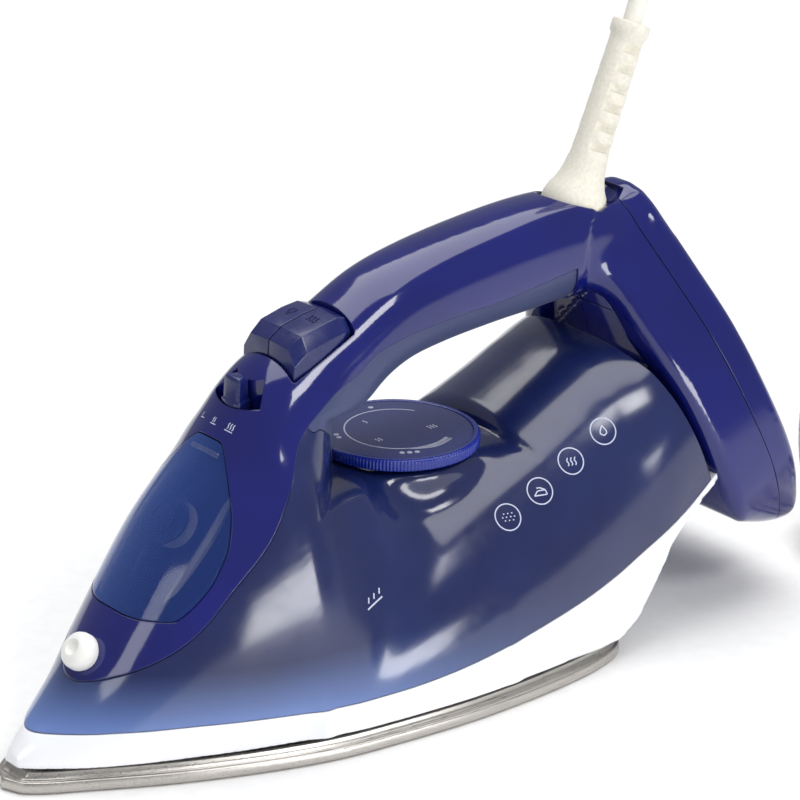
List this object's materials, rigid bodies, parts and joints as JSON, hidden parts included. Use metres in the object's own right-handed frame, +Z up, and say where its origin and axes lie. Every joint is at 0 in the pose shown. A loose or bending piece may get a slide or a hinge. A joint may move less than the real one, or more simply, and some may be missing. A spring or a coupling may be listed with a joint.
{
  "type": "steam iron",
  "caption": "Electric steam iron with a pointed sole plate, tinted water tank, temperature dial, arched handle, forked heel and a swivelling cord guard with a coiled mains lead.",
  "frame": {"origin": "on the ironing face of the sole plate, midway along its length and on its centre line", "axes": "+X towards the nose, +Y to the iron's left, +Z up from the ironing face"},
  "size_m": [0.4257, 0.1639, 0.2461],
  "materials": {
    "sole_plate": "satin grey coated plate with a bright pressed rim",
    "casting": "raw die casting",
    "steel": "satin",
    "brass": "turned",
    "white_gloss": "gloss",
    "white_satin": "satin",
    "tank": "clear tinted gloss",
    "flap": "clear tinted gloss",
    "navy_gloss": "gloss",
    "navy_satin": "satin",
    "dial_rim": "gloss, knurled",
    "dial_face": "satin, printed scale",
    "grip": "satin",
    "fitting": "moulded",
    "fitting_dark": "moulded",
    "seal": "soft",
    "wire_brown": "insulated",
    "wire_blue": "insulated",
    "cord_white": "satin moulded",
    "tie": "matt"
  },
  "bodies": {
    "base": {"sole_plate": "sole_plate", "sole_casting": "casting", "heating_element": "steel", "steam_chamber_lid": "casting", "heat_shield": "casting", "thermostat": "steel", "skirt": "white_gloss", "water_tank": "tank", "steam_valve_seat": "brass", "spray_pump": "fitting", "spray_spring": "steel", "burst_pump": "fitting", "burst_spring": "steel", "flap_hinge_pin": "steel", "spray_nozzle": "white_satin", "spray_hose": "seal", "upper_shell": "navy_gloss", "rear_cover": "navy_gloss", "grip_underside": "grip", "rear_cover_screw_right": "steel", "rear_cover_screw_left": "steel", "sole_screw_left": "steel", "sole_screw_right": "steel", "terminal_block": "fitting", "wire_live": "wire_brown", "wire_neutral": "wire_blue", "thermal_fuse": "steel", "spray_dip_tube": "seal", "burst_dip_tube": "seal", "cord_clamp": "fitting", "cord_lead": "cord_white", "cord_coil": "cord_white", "cord_tie": "tie", "cord_tail": "cord_white", "mains_plug": "cord_white"},
    "dial": {"dial_knob": "dial_rim", "dial_face": "dial_face", "thermostat_shaft": "steel"},
    "lever": {"steam_lever": "navy_satin", "steam_valve_rod": "steel"},
    "spray_plunger": {"spray_button": "navy_satin", "spray_piston": "fitting_dark"},
    "burst_plunger": {"burst_button": "navy_satin", "burst_piston": "fitting_dark"},
    "flap": {"fill_flap": "flap", "flap_seal": "seal"},
    "guard": {"cord_guard": "cord_white"}
  },
  "joints": [
    {"name": "dial_turn", "type": "hinge", "parent": "base", "child": "dial", "pos_m": [-0.0435, 0, 0.0825], "axis": [0, 0, 1], "range_deg": [-200, 60]},
    {"name": "steam_lever_swing", "type": "hinge", "parent": "base", "child": "lever", "pos_m": [0.009, 0, 0.1], "axis": [0, 0, 1], "range_deg": [-22, 22]},
    {"name": "spray_button_press", "type": "slide", "parent": "base", "child": "spray_plunger", "axis": [0, 0, -1], "range_m": [0, 0.0035], "stiffness_N_per_m": 600, "springref_m": -0.003, "deforming": ["spray_spring"]},
    {"name": "burst_button_press", "type": "slide", "parent": "base", "child": "burst_plunger", "axis": [0, 0, -1], "range_m": [0, 0.0035], "stiffness_N_per_m": 600, "springref_m": -0.003, "deforming": ["burst_spring"]},
    {"name": "fill_flap_open", "type": "hinge", "parent": "base", "child": "flap", "pos_m": [0.03716, 0, 0.09612], "axis": [0, -1, 0], "range_deg": [0, 75]},
    {"name": "cord_guard_swing", "type": "hinge", "parent": "base", "child": "guard", "pos_m": [-0.12, 0, 0.14507], "axis": [0, 1, 0], "range_deg": [-12, 35], "deforming": ["cord_lead"]}
  ]
}
